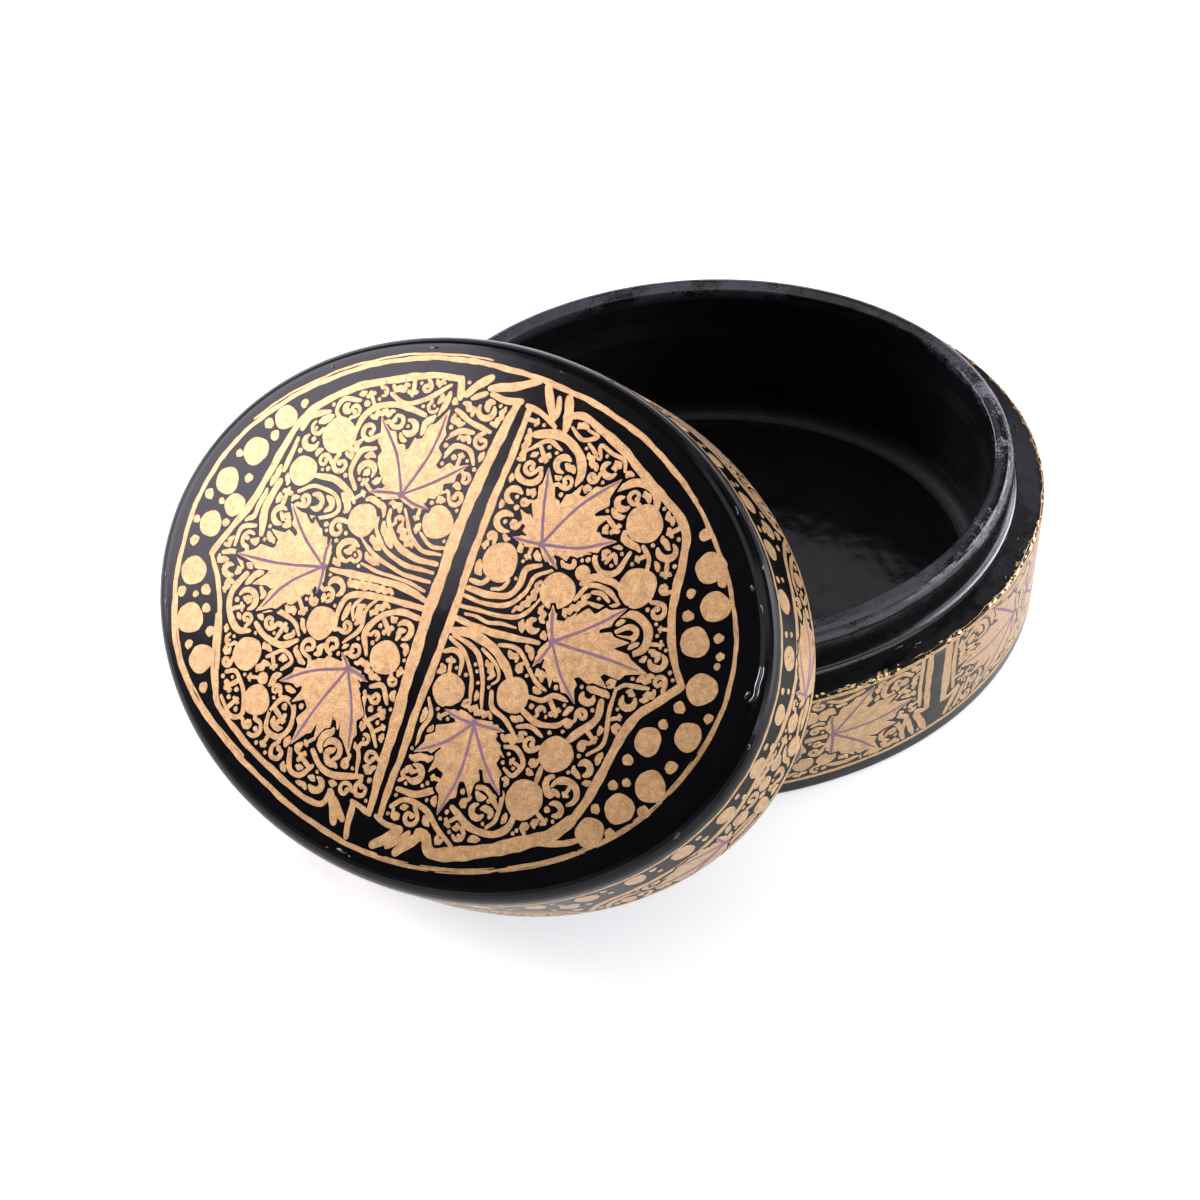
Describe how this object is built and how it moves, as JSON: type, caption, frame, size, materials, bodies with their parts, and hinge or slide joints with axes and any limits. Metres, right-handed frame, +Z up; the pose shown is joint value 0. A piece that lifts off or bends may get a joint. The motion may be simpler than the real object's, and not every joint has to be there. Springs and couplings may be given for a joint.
{
  "type": "trinket box",
  "caption": "Oval papier mache trinket box with an inner collar and a crowned lift-off lid, shown off and leaning on the box.",
  "frame": {"origin": "middle of the box's flat underside, on the table", "axes": "+Z up; +X along the long axis of the box's oval, towards the end away from the leaning lid; +Y across it, towards the back"},
  "size_m": [0.1294, 0.1056, 0.0569],
  "materials": {
    "painted_papier_mache": "glossy black lacquer painted with a dense matte gold pattern",
    "black_papier_mache": "brushed black lacquer, glossy"
  },
  "bodies": {
    "box": {"box_wall": "painted_papier_mache", "box_floor": "black_papier_mache", "box_collar": "black_papier_mache"},
    "lid": {"lid_band": "painted_papier_mache", "lid_panel": "painted_papier_mache"}
  },
  "joints": [
    {"name": "lid_lift", "type": "slide", "parent": "box", "child": "lid", "axis": [0, 0, 1], "range_m": [0, 0.06]}
  ]
}
